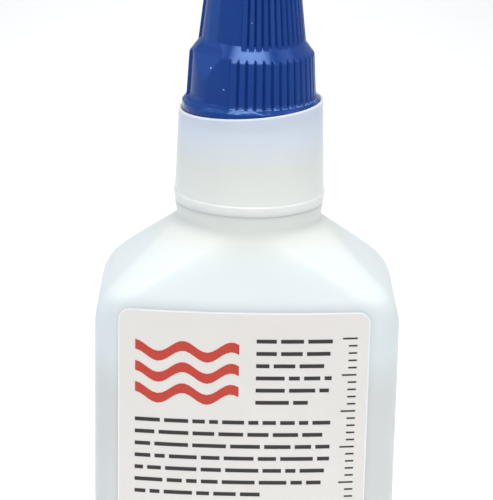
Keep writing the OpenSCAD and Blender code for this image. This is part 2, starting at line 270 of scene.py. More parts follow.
print("shading breaks at edges sharper than", round(math.degrees(SHARP)), "degrees")


# %% [markdown]
# ## The flask
# The flask is blown from natural HDPE: an oblong tube with slightly bowed panels that leans in and turns
# round towards the neck. The shoulder can't be turned on a lathe or lofted between two outlines only, so it
# is a stack of outlines whose width follows the outline seen from the front, while the depth and roundness
# follow their own curve. The wall has its real thickness, because light that enters it spreads inside.

# %% Outlines of the flask
BODY_W, BODY_D, BODY_H = 39.8, 26.8, 62.4
HALF_W, HALF_D = BODY_W / 2, BODY_D / 2
PANEL_R, EDGE_R, WALL = 110, 4.6, 1.1
BASE_ROUND, FLOOR_T, BASE_RECESS, FOOT_W = 2.6, 1.3, 1.2, 2.2
CORNER_N, PANEL_N = 14, 30
NECK_FACE = math.radians(25)


def oblong(a, b, c):
    """Outline with half width a, half depth b, corner radius c and bowed panels."""
    tilt = math.asin((a - c) / (PANEL_R - c))
    flat = (PANEL_R - c) * math.cos(tilt) - PANEL_R + b
    turns = [(math.pi / 2 - tilt) * i / CORNER_N for i in range(CORNER_N + 1)]
    side = [(a - c + c * math.cos(q), flat + c * math.sin(q)) for q in turns]
    bow = [tilt * (1 - 2 * i / PANEL_N) for i in range(1, PANEL_N)]
    half = side + [(PANEL_R * math.sin(q), b - PANEL_R + PANEL_R * math.cos(q)) for q in bow]
    half += [(-x, y) for x, y in reversed(side)]
    return half + [(-x, -y) for x, y in half]


def upright(inset):
    """Outline of the straight part of the flask, brought in all round."""
    return oblong(HALF_W - inset, HALF_D - inset, EDGE_R * (1 - inset / HALF_D))


OUTLINE_N = len(upright(0))


def circle(r):
    """Circle with as many points as the flask's outlines: each panel runs into a narrow share of it."""
    corner = [(math.pi / 2 - NECK_FACE) * (2 * i + 1) / (2 * CORNER_N + 1) for i in range(CORNER_N + 1)]
    bow = [math.pi / 2 + NECK_FACE * (2 * i / PANEL_N - 1) for i in range(1, PANEL_N)]
    half = corner + bow + [math.pi - q for q in reversed(corner)]
    return [(r * math.cos(q), r * math.sin(q)) for q in half + [math.pi + q for q in half]]


def at(z, outline):
    """Outline laid at a height."""
    return [(x, y, z) for x, y in outline]


def ease(t):
    """Smooth step from 0 to 1."""
    t = min(1, max(0, t))
    return t * t * (3 - 2 * t)


print("outline of the flask:", OUTLINE_N, "points")

# %% The shoulder
SHOULDER_R, SHOULDER_SLOPE = 7.4, math.radians(41.5)
LEAN_H, FLARE_H, FLARE_W = 9.5, 0.6, 0.9
NECK_R, NECK_H, NECK_WALL = 7.6, 9.65, 1.3
BEAD_H, BEAD_OUT, BEAD_UP = 1.2, 0.35, 5.5
SNAP_GAP, COLLAR_WALL, COLLAR_FLARE = 0.1, 1.35, 0.55
ROOT_H, ROOT_FLARE, ROOT_STEP = 1.65, 0.2, 0.4
SKIRT_IN_R = NECK_R + BEAD_OUT + SNAP_GAP
COLLAR_TOP_R = SKIRT_IN_R + COLLAR_WALL
COLLAR_R = COLLAR_TOP_R + COLLAR_FLARE
ROOT_R = COLLAR_R - ROOT_STEP
BORE_R = NECK_R - NECK_WALL
ROLL_TURN = math.pi / 2 - SHOULDER_SLOPE
SLOPE_W = HALF_W - SHOULDER_R * (1 - math.cos(ROLL_TURN))
SLOPE_Z = BODY_H + SHOULDER_R * math.sin(ROLL_TURN)
MEET_Z = SLOPE_Z + (SLOPE_W - ROOT_R) * math.tan(SHOULDER_SLOPE)
FLARE_Z = MEET_Z + FLARE_H
LEAN_Z = FLARE_Z - LEAN_H
ROOT_Z = FLARE_Z + ROOT_H
NECK_Z = ROOT_Z + NECK_H
BEAD_Z = ROOT_Z + BEAD_UP
ROLL_N, SLOPE_N, FLARE_N = 16, 18, 8
DROP, LEAN_EASE = 0.5, 0.15


def ramp_up(t):
    """Straight ramp from 0 to 1 with eased ends."""
    t = min(1, max(0, t))
    if t > 0.5:
        return 1 - ramp_up(1 - t)
    if t < LEAN_EASE:
        return t * t / (2 * LEAN_EASE * (1 - LEAN_EASE))
    return (t - LEAN_EASE / 2) / (1 - LEAN_EASE)


def shoulder_path():
    """Heights and half widths of the shoulder seen from the front, from the walls up to the neck."""
    for i in range(ROLL_N + 1):
        q = ROLL_TURN * i / ROLL_N
        yield BODY_H + SHOULDER_R * math.sin(q), HALF_W - SHOULDER_R * (1 - math.cos(q))
    for i in range(1, SLOPE_N + 1):
        w = SLOPE_W + (ROOT_R + FLARE_W - SLOPE_W) * i / SLOPE_N
        yield SLOPE_Z + (SLOPE_W - w) * math.tan(SHOULDER_SLOPE), w
    for i in range(1, FLARE_N + 1):
        t = i / FLARE_N
        yield (MEET_Z - FLARE_W * math.tan(SHOULDER_SLOPE) * (1 - t) ** 2 + FLARE_H * t ** 2,
               ROOT_R + FLARE_W * (1 - t) ** 2)


def shoulder(inset):
    """Rings of the shoulder, brought in by an inset for the inside of the wall."""
    rings = []
    for z, w in shoulder_path():
        t = ramp_up((z - LEAN_Z) / LEAN_H)
        w, d = w - inset, HALF_D + (ROOT_R - HALF_D) * t - inset
        plain = oblong(w, d, EDGE_R * (1 - inset / HALF_D))
        turned = t * t
        outline = [((1 - turned) * x + turned * w * cx, (1 - turned) * y + turned * d * cy)
                   for (x, y), (cx, cy) in zip(plain, circle(1))]
        rings.append(at(z - inset * DROP, outline))
    return rings


def base_turn(inset, z, r, steps=8):
    """Rings of the turn from a level base up into the walls."""
    turns = [math.pi / 2 * i / steps for i in range(steps + 1)]
    return [at(z + r * (1 - math.cos(q)), upright(inset + r * (1 - math.sin(q)))) for q in turns]


print("shoulder from", round(BODY_H, 2), "to", round(FLARE_Z, 2), "mm, neck up to", round(NECK_Z, 2), "mm")

# %% [markdown]
# The flask shows its blow-moulded skin: a satin surface with a faint grain from the blasted mould, a wall
# that scatters light, and a tone that turns greyer and warmer where the wall is wetted by the liquid behind
# it. Near the neck the wall is thicker and creamier, and that tone also holds painted shade from under the
# collar. One noise sets both tone and gloss, because both follow the flow of the melt.

# %% Blown HDPE
# A blasted mould leaves a grain of about 0.05 mm, which is drawn at 0.5 mm to show at all
FLOW_MM, BLAST_MM = 11, 0.5
FLOOR_Z = BASE_RECESS + FLOOR_T
FILL_H, FILL_GAP = 56, 0.05
FILL_Z = FLOOR_Z + FILL_H
WET_LOW, WET_HIGH = FILL_Z - 5, FILL_Z + 2
THICK_SHADE_LOW, THICK_SHADE_HIGH = FLARE_Z - 5.2, FLARE_Z - 0.5

blown_hdpe, tree, shader, place = finish("HDPE_blown_natural", IOR=1.54, Specular_IOR_Level=0.3,
                                         Subsurface_Weight=0.6, Subsurface_Radius=(1, 1, 1),
                                         Subsurface_Scale=1.5 * MM)
height = add(tree, "SeparateXYZ", {"Vector": place}).outputs["Z"]
flow = add(tree, "TexNoise", {"Vector": place, "Scale": per_mm(FLOW_MM), "Detail": 3}).outputs["Fac"]
wet = add(tree, "Mix", {MIX_FACTOR: flow, MIX_A: linear("#d7d8d3"), MIX_B: linear("#dddedb")},
          data_type="RGBA").outputs[MIX_OUT]
dry = add(tree, "Mix", {MIX_FACTOR: flow, MIX_A: linear("#dee4e3"), MIX_B: linear("#e5ebe9")},
          data_type="RGBA").outputs[MIX_OUT]
above = add(tree, "MapRange", {"Value": height, "From Min": WET_LOW * MM, "From Max": WET_HIGH * MM},
            interpolation_type="SMOOTHSTEP").outputs["Result"]
walls = add(tree, "Mix", {MIX_FACTOR: above, MIX_A: wet, MIX_B: dry}, data_type="RGBA").outputs[MIX_OUT]
# Painted shade: the tone near the neck turns warmer, partly for the thicker wall and partly as painted
# shade under the collar
thick_and_shaded = add(tree, "MapRange", {"Value": height, "From Min": THICK_SHADE_LOW * MM, "From Max": THICK_SHADE_HIGH * MM},
            interpolation_type="SMOOTHSTEP").outputs["Result"]
tone = add(tree, "Mix", {MIX_FACTOR: thick_and_shaded, MIX_A: walls, MIX_B: linear("#e5e6de")}, data_type="RGBA")
tree.links.new(tone.outputs[MIX_OUT], shader.inputs["Base Color"])
satin = add(tree, "MapRange", {"Value": flow, "To Min": 0.30, "To Max": 0.40}).outputs["Result"]
tree.links.new(satin, shader.inputs["Roughness"])
blasting = add(tree, "TexNoise", {"Vector": place, "Scale": per_mm(BLAST_MM), "Detail": 2}).outputs["Fac"]
grain = add(tree, "Bump", {"Height": blasting, "Strength": 0.25, "Distance": 0.02 * MM}).outputs["Normal"]
tree.links.new(grain, shader.inputs["Normal"])
print("flask wetted up to", round(FILL_Z, 2), "mm")

# %% [markdown]
# The flask is one closed skin: from the middle of the base over the foot ring, up the walls and the
# shoulder, over the neck with its snap bead, and down again inside the wall.

# %% The flask itself
SEAT_UP = 0.15
# Rings of the base: share of the recess's depth, and distance past the foot's inner edge in foot widths
BASE_STEPS = ((1, 0.75), (1, 0.62), (0.94, 0.5), (0.12, 0.08), (0.03, 0), (0, -0.06))

foot = BASE_ROUND + FOOT_W
base = [at(BASE_RECESS * deep, upright(foot + FOOT_W * out)) for deep, out in BASE_STEPS]
seat_r, seat_z = ROOT_R + ROOT_FLARE, ROOT_Z + SEAT_UP
neck_corners = [(seat_r, ROOT_Z - 0.2, 0), (seat_r, seat_z, 0.015), (NECK_R, seat_z, 0.15),
                (NECK_R, BEAD_Z - BEAD_H / 2, 0.2), (NECK_R + BEAD_OUT, BEAD_Z, 0.15),
                (NECK_R, BEAD_Z + BEAD_H / 2, 0.2), (NECK_R, NECK_Z, 0.2), (BORE_R, NECK_Z, 0.2),
                (BORE_R, ROOT_Z - WALL * 0.7, 0)]
neck = [at(z, circle(r)) for r, z in rounded(neck_corners)]
inside = base_turn(WALL, FLOOR_Z, BASE_ROUND - WALL) + shoulder(WALL)
make_piece("flask", [skin(base + base_turn(0, 0, BASE_ROUND) + shoulder(0) + neck + inside[::-1])],
           blown_hdpe, "bottle_body", "hdpe_natural", "bottle")

# %% [markdown]
# ## The liquid
# The adhesive is a thin clear liquid, faintly uneven in its tint. It wets the wall, so its surface climbs a
# little at the edge. It is one closed skin a hair inside the flask, with a true clear shader for when the
# flask is cut away.

# %% Clear adhesive
CLOUD_MM = 14
CLIMB_H, CLIMB_W = 0.9, 1.4

clear_liquid, tree, shader, place = finish("cyanoacrylate_liquid", IOR=1.44, Transmission_Weight=1,
                                           Roughness=0.02)
cloud = add(tree, "TexNoise", {"Vector": place, "Scale": per_mm(CLOUD_MM)}).outputs["Fac"]
tint = add(tree, "Mix", {MIX_FACTOR: cloud, MIX_A: linear("#f7f9f4"), MIX_B: linear("#fcfdfb")},
           data_type="RGBA").outputs[MIX_OUT]
tree.links.new(tint, shader.inputs["Base Color"])

wetted = WALL + FILL_GAP
climb = [at(FILL_Z - CLIMB_H * s ** 2, upright(wetted + CLIMB_W * (1 - (1 - s) ** 2)))
         for s in (0, 0.25, 0.5, 0.75, 1)]
make_piece("adhesive_fill", [skin(base_turn(wetted, FLOOR_Z + FILL_GAP, BASE_ROUND - WALL) + climb)],
           clear_liquid, "bottle_body", "clear_liquid", "adhesive")

# %% [markdown]
# ## The nozzle
# Collar, deck, boss and spout are one moulding of soft natural LDPE, pushed over the neck until a bead
# snaps. All of it is turned about one axis, apart from the thin rim round the cap, which is cut on a slant.
# One closed section is spun into rings, and the rings above the deck are sheared for the slant.

# %% Sizes of the nozzle
LIP_GAP, LIP_H, LIP_IN, LIP_STEP = 0.15, 1.3, 0.2, 0.14
DECK_T, RIM_T, RIM_H, RIM_SLANT = 1.5, 0.3, 1.95, math.radians(4.5)
PLUG_H, PLUG_WALL, PLUG_GAP = 3.5, 0.9, 0.08
BOSS_R, BOSS_H, BOSS_WALL, BOSS_CHAMFER = 5.8, 8.25, 1.3, 0.5
SPOUT_R, SPOUT_WALL, SPOUT_H, TIP_R, ORIFICE_R, ORIFICE_H = 4, 1.2, 20.4, 1.2, 0.65, 7
LIP_Z = ROOT_Z + LIP_GAP
LIP_R = (LIP_H ** 2 + LIP_IN ** 2) / (2 * LIP_IN)
DECK_Z = NECK_Z + DECK_T
RIM_Z = DECK_Z + RIM_H
RIM_IN_R = COLLAR_TOP_R - RIM_T
HOOK_Z = BEAD_Z - BEAD_H - SNAP_GAP
PLUG_R = BORE_R - PLUG_GAP
PLUG_IN_R = PLUG_R - PLUG_WALL
BOSS_Z = DECK_Z + BOSS_H
BOSS_IN_R = BOSS_R - BOSS_WALL
TIP_Z = BOSS_Z + SPOUT_H
TURN_N = 180


def spin(r, z, shear=0):
    """Ring about the axis; shear lifts the +X side and lowers the -X side."""
    turns = [2 * math.pi * i / TURN_N for i in range(TURN_N)]
    return [(r * math.cos(q), r * math.sin(q), z + shear * r * math.cos(q)) for q in turns]


def nozzle_ring(r, z):
    """Ring of the nozzle; the rim is sheared more the further it stands above the deck."""
    in_rim = r > (BOSS_R + RIM_IN_R) / 2 and z > DECK_Z
    return spin(r, z, math.tan(RIM_SLANT) * (z - DECK_Z) / RIM_H if in_rim else 0)


lip_turn = math.asin(LIP_H / LIP_R)
lip = [(COLLAR_R - LIP_R + LIP_R * math.cos(q), LIP_Z + LIP_H + LIP_R * math.sin(q), 0)
       for q in (-lip_turn * 0.75, -lip_turn * 0.5, -lip_turn * 0.25, 0)]
nozzle_corners = [
    (SKIRT_IN_R, LIP_Z, 0.1), (COLLAR_R - LIP_IN, LIP_Z, 0.015), *lip,
    (COLLAR_R - LIP_STEP, LIP_Z + LIP_H + LIP_STEP * 1.3, 0.1),
    (COLLAR_TOP_R, RIM_Z, 0.1), (RIM_IN_R, RIM_Z, 0.1), (RIM_IN_R, DECK_Z, 0.15), (BOSS_R, DECK_Z, 0.3),
    (BOSS_R, BOSS_Z - BOSS_CHAMFER, 0.2), (BOSS_R - BOSS_CHAMFER, BOSS_Z, 0.2), (SPOUT_R, BOSS_Z, 0.6),
    (TIP_R, TIP_Z, 0.2), (ORIFICE_R, TIP_Z, 0.15), (ORIFICE_R, TIP_Z - ORIFICE_H, 0.3),
    (SPOUT_R - SPOUT_WALL, BOSS_Z - BOSS_WALL, 0.3), (BOSS_IN_R, BOSS_Z - BOSS_WALL, 0.3),
    (BOSS_IN_R, DECK_Z, 0.2), (PLUG_IN_R, NECK_Z, 0.2), (PLUG_IN_R, NECK_Z - PLUG_H, 0.2),
    (PLUG_R, NECK_Z - PLUG_H, 0.3), (PLUG_R, NECK_Z, 0.1), (SKIRT_IN_R, NECK_Z, 0.15),
    (SKIRT_IN_R, HOOK_Z + BEAD_H / 2, 0.2), (SKIRT_IN_R - BEAD_OUT, HOOK_Z, 0.15),
    (SKIRT_IN_R, HOOK_Z - BEAD_H / 2, 0.2)]
print("nozzle: deck at", round(DECK_Z, 2), "mm, tip at", round(TIP_Z, 2), "mm")

# %% [markdown]
# Moulded LDPE is milkier and softer in its gloss than the blown flask. Light that enters a thin milky wall
# comes out along its edges, which a little sheen gives. The top of the collar is painted cooler and darker
# than its foot, as painted shade with the blue flange seen through the thin rim, and the rim's top edge
# carries a painted highlight.

# %% Moulded LDPE
HAZE_MM, SINK_MM = 4, 2.5
DRIFT = 0.9
RIM_HIGHLIGHT_LOW, RIM_HIGHLIGHT_HIGH = RIM_Z - 0.35, RIM_Z - 0.1

moulded_ldpe, tree, shader, place = finish("LDPE_moulded_natural", IOR=1.51, Subsurface_Weight=0.7,
                                           Subsurface_Radius=(1, 1, 1), Subsurface_Scale=1.2 * MM,
                                           Sheen_Weight=0.2, Sheen_Roughness=0.35)
height = add(tree, "SeparateXYZ", {"Vector": place}).outputs["Z"]
haze = add(tree, "TexNoise", {"Vector": place, "Scale": per_mm(HAZE_MM), "Detail": 3}).outputs["Fac"]
drift = add(tree, "MapRange", {"Value": haze, "To Min": -DRIFT * MM, "To Max": DRIFT * MM})
level_z = add(tree, "Math", {0: height, 1: drift.outputs["Result"]}, operation="ADD").outputs["Value"]
# Painted shade: the base colour turns darker and bluer towards the rim, for the blue flange seen through
# the thin wall
upper = add(tree, "MapRange", {"Value": level_z, "From Min": LIP_Z * MM, "From Max": RIM_Z * MM})
milk_and_painted_shade = add(tree, "ValToRGB", {"Fac": upper.outputs["Result"]}).outputs["Color"]
ramp = milk_and_painted_shade.node.color_ramp
ramp.elements[0].color = linear("#efefe8")
ramp.elements[1].color = linear("#d5deee")
ramp.elements.new(0.45).color = linear("#e5e6de")
# Painted highlight: a near-white band in the base colour along the slanted top edge of the rim
slant = add(tree, "VectorMath", {0: place, 1: (-math.tan(RIM_SLANT), 0, 1)}, operation="DOT_PRODUCT")
rim_highlight = add(tree, "MapRange", {"Value": slant.outputs["Value"],
                              "From Min": RIM_HIGHLIGHT_LOW * MM, "From Max": RIM_HIGHLIGHT_HIGH * MM},
           interpolation_type="SMOOTHSTEP").outputs["Result"]
collar_with_rim_highlight = add(tree, "Mix", {MIX_FACTOR: rim_highlight, MIX_A: milk_and_painted_shade, MIX_B: linear("#f2f4f4")}, data_type="RGBA")
tree.links.new(collar_with_rim_highlight.outputs[MIX_OUT], shader.inputs["Base Color"])
gloss = add(tree, "MapRange", {"Value": haze, "To Min": 0.26, "To Max": 0.36}).outputs["Result"]
tree.links.new(gloss, shader.inputs["Roughness"])
sink = add(tree, "TexNoise", {"Vector": place, "Scale": per_mm(SINK_MM)}).outputs["Fac"]
waves = add(tree, "Bump", {"Height": sink, "Strength": 0.3, "Distance": 0.05 * MM}).outputs["Normal"]
tree.links.new(waves, shader.inputs["Normal"])
print("collar tone runs from", round(LIP_Z, 2), "to", round(RIM_Z, 2), "mm")

# %% [markdown]
# The corners of the nozzle's section run once round its cut wall, outside and inside, so the skin is a
# loop.

# %% The nozzle itself
section = rounded(nozzle_corners, looped=True)
make_piece("nozzle_moulding", [skin([nozzle_ring(r, z) for r, z in section], looped=True)],
           moulded_ldpe, "bottle_body", "ldpe_natural", "nozzle")

# %% [markdown]
# ## The screw cap
# The cap is moulded in blue PP: a flange, a ribbed ring, a sloping ledge and a ribbed cone, with two thumb
# facets cut into opposite sides. Cutting these with booleans would leave sharp, uneven edges. Instead the
# radius is written as a function of angle and height, from soft minima and maxima of the plain shapes, so
# every rib and facet edge gets a small even radius, as in the real mould.

# %% Sizes of the cap
SEAT_GAP, CAP_GAP, THREAD_GAP, BOSS_GAP, TIP_GAP, PIN_GAP = 0.2, 0.12, 0.15, 0.4, 0.3, 0.03
FLANGE_H, FLANGE_BEVEL, THREAD_OUT = 2.6, 0.4, 0.55
RING_WALL, RING_DRAFT, LEDGE_H, LEDGE_IN = 1.25, 0.37, 1.6, 1.18
CONE_TAPER, CAP_WALL, ROOF_T, CROWN_ROUND = math.tan(math.radians(6.5)), 1.25, 2.2, 0.9
RING_RIBS, CONE_RIBS, RIB_PITCH, RIB_OUT = 15, 13, 7.83, 0.34
FACET_UP, FACET_HALF, FLAT_IN, FACET_TURN = 2.4, 21.8, 0.07, 218
PIN_R, PIN_REACH, PIN_BED, SOCKET_R, SOCKET_H = 0.5, 5, 0.8, 1.6, 3.5
CAP_Z = DECK_Z + SEAT_GAP
FLANGE_Z = CAP_Z + FLANGE_H
FLANGE_R = RIM_IN_R - CAP_GAP
CAP_BORE_R = BOSS_R + THREAD_OUT + THREAD_GAP
CAP_BORE_Z = BOSS_Z + BOSS_GAP
RING_TOP_R = CAP_BORE_R + RING_WALL
RING_R = RING_TOP_R + RING_DRAFT
RING_Z = CAP_BORE_Z + LEDGE_H * 0.3
LEDGE_Z = RING_Z + LEDGE_H
CONE_R = RING_TOP_R - LEDGE_IN
ROOF_Z = TIP_Z + TIP_GAP + SOCKET_H
CAP_TOP = ROOF_Z + ROOF_T
CROWN_Z = CAP_TOP - CROWN_ROUND
CONE_IN_R = CONE_R - CAP_WALL
CONE_IN_Z = CAP_BORE_Z + CAP_BORE_R - CONE_IN_R
FACET_Z = FLANGE_Z + FACET_UP
print("cap from", round(CAP_Z, 2), "to", round(CAP_TOP, 2), "mm")


# %% Radius of the cap at each angle and height
# A rib's flank is a share of the pitch, blends are in mm, a facet's reach and widest opening in degrees
RIB_FLANK = 0.22
LEDGE_BLEND, FACET_BLEND, FACET_EDGE = 0.06, 0.8, 0.03
FACET_REACH, FACET_OPEN = 75, 60


def soft_min(a, b, blend):
    """Smaller of two lengths, with the corner between them rounded."""
    near = max(blend - abs(a - b), 0) / blend
    return min(a, b) - near * near * blend / 4


def soft_max(a, b, blend):
    """Larger of two lengths, with the corner between them rounded."""
    return -soft_min(-a, -b, blend)


def ring_at(z):
    """Radius of the ring between its ribs."""
    return RING_R - RING_DRAFT * (z - FLANGE_Z) / (RING_Z - FLANGE_Z)


def ledge_at(z):
    """Radius of the sloping ledge over the ring."""
    return RING_TOP_R - LEDGE_IN * (z - RING_Z) / LEDGE_H


def cone_at(z):
    """Radius of the cone between its ribs."""
    return CONE_R - (z - LEDGE_Z) * CONE_TAPER


def rib_rise(angle, count):
    """Rise of the ribs at an angle in degrees, where the middle of a ribbed side is at 90 or 270."""
    off = (angle % 180 - 90) / RIB_PITCH
    if abs(round(off)) * 2 >= count:
        return 0
    return RIB_OUT * ease((0.5 - abs(off - round(off))) / RIB_FLANK)


def cap_radius(angle, z):
    """Radius of the outside of the cap, with angle 0 in the middle of a thumb facet."""
    fade = 1 - ease((z - CROWN_Z + CROWN_ROUND) / CROWN_ROUND)
    ring = soft_min(ring_at(z) + rib_rise(angle, RING_RIBS), ledge_at(z), LEDGE_BLEND)
    cone = cone_at(min(z, CROWN_Z)) + rib_rise(angle, CONE_RIBS) * fade
    r = soft_max(ring, cone, LEDGE_BLEND)
    turn = math.radians((angle + 90) % 180 - 90)
    if abs(turn) > math.radians(FACET_REACH):
        return r
    opened = FACET_HALF * (z - FACET_Z) / (RING_Z - FACET_Z)
    open_turn = math.radians(min(FACET_OPEN, max(0, opened)))
    # Below the facet's foot the cut is moved outside the ring
    hollow = min(ring_at(z), ledge_at(z)) * math.cos(open_turn) + (1 if z < FACET_Z else 0)
    cut = soft_max(hollow, cone_at(min(z, CROWN_Z)) - FLAT_IN, FACET_BLEND)
    return soft_min(r, cut / math.cos(turn), FACET_EDGE)


print("ring radius", round(cap_radius(90, FACET_Z), 2), "mm on a rib and", round(cap_radius(0, RING_Z), 2),
      "mm in a facet")

# %% Columns of points round the cap
# They stand close together on the ribs and evenly on the smooth sides
RIB_STEPS = (-0.5, -0.45, -0.4, -0.34, -0.27, -0.1, 0.1, 0.27, 0.34, 0.4, 0.45)
SMOOTH_N = 52
smooth_half = 90 - RING_RIBS / 2 * RIB_PITCH
first_rib = (RING_RIBS - 1) / 2
ribs_half = [90 + (i - first_rib + step) * RIB_PITCH for i in range(RING_RIBS) for step in RIB_STEPS]
smooth_steps = [-smooth_half + smooth_half * 2 * i / SMOOTH_N for i in range(SMOOTH_N)]
COLUMNS = [side + q for side in (0, 180) for q in smooth_steps + ribs_half]
print("cap has", len(COLUMNS), "columns of points")


def cap_ring(z, radius):
    """Ring of the cap at a height; radius is a length or a function of the angle."""
    ring = []
    for angle in COLUMNS:
        r = radius(angle) if callable(radius) else radius
        q = math.radians(angle + FACET_TURN)
        ring.append((r * math.cos(q), r * math.sin(q), z))
    return ring


# %% [markdown]
# The blue PP is glossy but softly so, as from a spark-eroded mould: highlights on the ledge are bright and
# broad. The pigment is a shade uneven, a few specks of dust sit on it, and the flange, which meets fingers
# and benches first, has small knocks that break up its highlights. Its sharpest edges carry a painted
# highlight, a lighter blue in the base colour.

# %% Moulded PP
# Spark erosion leaves pits of about 0.03 mm, which are drawn at 0.3 mm to show at all
SWIRL_MM, DUST_STEP_MM, PIT_MM, KNOCK_MM = 5, 1.6, 0.3, 2.2
DUST_R, DUST_RARE = 0.07, 0.7
KNOCKS_AND_HIGHLIGHT_TO = FLANGE_Z + 0.3
CREST_LOW, CREST_HIGH, EDGE_HIGHLIGHT = 0.53, 0.62, 0.7

moulded_pp, tree, shader, place = finish("PP_moulded_blue", IOR=1.49, Specular_Tint=linear("#a5cbff"))
swirl = add(tree, "TexNoise", {"Vector": place, "Scale": per_mm(SWIRL_MM), "Detail": 3}).outputs["Fac"]
pigment = add(tree, "Mix", {MIX_FACTOR: swirl, MIX_A: linear("#1b3b82"), MIX_B: linear("#1f438a")},
              data_type="RGBA").outputs[MIX_OUT]
cells = add(tree, "TexVoronoi", {"Vector": place, "Scale": per_mm(DUST_STEP_MM)})
small = add(tree, "Math", {0: cells.outputs["Distance"], 1: DUST_R}, operation="LESS_THAN").outputs["Value"]
chance = add(tree, "SeparateColor", {"Color": cells.outputs["Color"]}).outputs["Red"]
rare = add(tree, "Math", {0: chance, 1: DUST_RARE}, operation="GREATER_THAN").outputs["Value"]
speck = add(tree, "Math", {0: small, 1: rare}, operation="MULTIPLY").outputs["Value"]
dusty = add(tree, "Mix", {MIX_FACTOR: speck, MIX_A: pigment, MIX_B: linear("#c9d4ea")},
            data_type="RGBA").outputs[MIX_OUT]
height = add(tree, "SeparateXYZ", {"Vector": place}).outputs["Z"]
low_down = add(tree, "MapRange", {"Value": height, "From Min": KNOCKS_AND_HIGHLIGHT_TO * MM,
                                  "From Max": FLANGE_Z * MM}).outputs["Result"]
# Painted highlight: on the flange's sharpest edges the base colour turns a lighter blue
crest = add(tree, "NewGeometry").outputs["Pointiness"]
crest_highlight = add(tree, "MapRange", {"Value": crest, "From Min": CREST_LOW, "From Max": CREST_HIGH,
                                "To Max": EDGE_HIGHLIGHT}).outputs["Result"]
painted_highlight = add(tree, "Math", {0: crest_highlight, 1: low_down}, operation="MULTIPLY").outputs["Value"]
pigment_and_highlight = add(tree, "Mix", {MIX_FACTOR: painted_highlight, MIX_A: dusty, MIX_B: linear("#8db8ef")}, data_type="RGBA")
tree.links.new(pigment_and_highlight.outputs[MIX_OUT], shader.inputs["Base Color"])
gloss = add(tree, "MapRange", {"Value": swirl, "To Min": 0.12, "To Max": 0.19}).outputs["Result"]
tree.links.new(gloss, shader.inputs["Roughness"])
sparks = add(tree, "TexNoise", {"Vector": place, "Scale": per_mm(PIT_MM)}).outputs["Fac"]
pits = add(tree, "Bump", {"Height": sparks, "Strength": 0.2, "Distance": 0.012 * MM}).outputs["Normal"]
knocks = add(tree, "TexNoise", {"Vector": place, "Scale": per_mm(KNOCK_MM), "Detail": 1}).outputs["Fac"]
dents = add(tree, "Math", {0: knocks, 1: low_down}, operation="MULTIPLY").outputs["Value"]
dented = add(tree, "Bump", {"Height": dents, "Strength": 0.9, "Distance": 0.28 * MM, "Normal": pits})
tree.links.new(dented.outputs["Normal"], shader.inputs["Normal"])
print("cap worn up to", round(KNOCKS_AND_HIGHLIGHT_TO, 2), "mm")

# %% [markdown]
# The cap's skin starts at the end of the pin's hole, runs down the inside, out under the flange and up the
# outside. Its rings stand close together where the facets open and where the ledge turns, and far apart on
# the straight cone.

# %% The cap itself
# Fillet over the flange: rise and distance from the ring at each of its rings
FILLET = ((0, 0.13), (0.14, 0.025))
CROWN_N = 8
# Heights where the spacing of the outer rings changes, and the spacing above each
SPACING = ((FLANGE_Z + 0.2, 0.7), (FACET_Z - 0.2, 0.2), (RING_Z - 0.7, 0.07), (LEDGE_Z + 0.35, 2.5),
           (CROWN_Z - CROWN_ROUND, 0.15), (CROWN_Z, 0))


def spread(low, high, step):
    """Heights from low to high, a step or less apart."""
    n = math.ceil((high - low) / step)
    return [low + (high - low) * i / n for i in range(n)]


hole_r, socket_z = PIN_R + PIN_GAP, TIP_Z + TIP_GAP
inner_corners = [
    (hole_r, ROOF_Z + PIN_BED, 0), (hole_r, socket_z, 0.1), (SOCKET_R, socket_z, 0.2),
    (SOCKET_R, ROOF_Z, 0.3), (CONE_IN_R - (ROOF_Z - CONE_IN_Z) * CONE_TAPER, ROOF_Z, 0.3),
    (CONE_IN_R, CONE_IN_Z, 0.4),
    (CAP_BORE_R, CAP_BORE_Z, 0.3), (CAP_BORE_R, CAP_Z, 0.2), (FLANGE_R, CAP_Z, 0.15),
    (FLANGE_R, FLANGE_Z - FLANGE_BEVEL * 1.3, 0.15), (FLANGE_R - FLANGE_BEVEL, FLANGE_Z, 0.12),
    (FLANGE_R - FLANGE_BEVEL * 1.6, FLANGE_Z, 0)]
cap_rings = [cap_ring(z, r) for r, z in rounded(inner_corners)]
for up, out in FILLET:
    cap_rings.append(cap_ring(FLANGE_Z + up, lambda angle: cap_radius(angle, FLANGE_Z) + out))
levels = []
for i, (low, step) in enumerate(SPACING[:-1]):
    levels += spread(low, SPACING[i + 1][0], step)
cap_rings += [cap_ring(z, lambda angle: cap_radius(angle, z)) for z in levels]
for q in (math.pi / 2 * i / CROWN_N for i in range(CROWN_N + 1)):
    drawn_in = CROWN_ROUND * (1 - math.cos(q))
    cap_rings.append(cap_ring(CROWN_Z + CROWN_ROUND * math.sin(q),
                              lambda angle: cap_radius(angle, CROWN_Z) - drawn_in))
make_piece("screw_cap", [skin(cap_rings)], moulded_pp, "cap_body", "pp_blue", "overcap")

# %% [markdown]
# ## Threads
# Boss and cap carry a two-start thread, which lifts the cap by 4 mm a turn. A screw modifier would leave
# blunt ends. Here a ridge is a small section swept along a helix, and its ends run out to nothing, as they
# do in a mould. The ridges of the cap lie half a pitch from those of the boss, so they pass between them
# all the way up.

# %% Sweep the thread ridges
LEAD, STARTS = 4, 2
RIDGE_FOOT, RIDGE_CREST, RIDGE_RISE, SUNK = 0.85, 0.3, 0.45, 0.05
RUN_OUT, RUN_OUT_W, RUN_OUT_RISE = 0.12, 0.4, 0.02
STEPS_A_TURN = 72
BOSS_START, BOSS_END, CAP_START, CAP_END = 1.4, 1.1, 1.1, 1.3


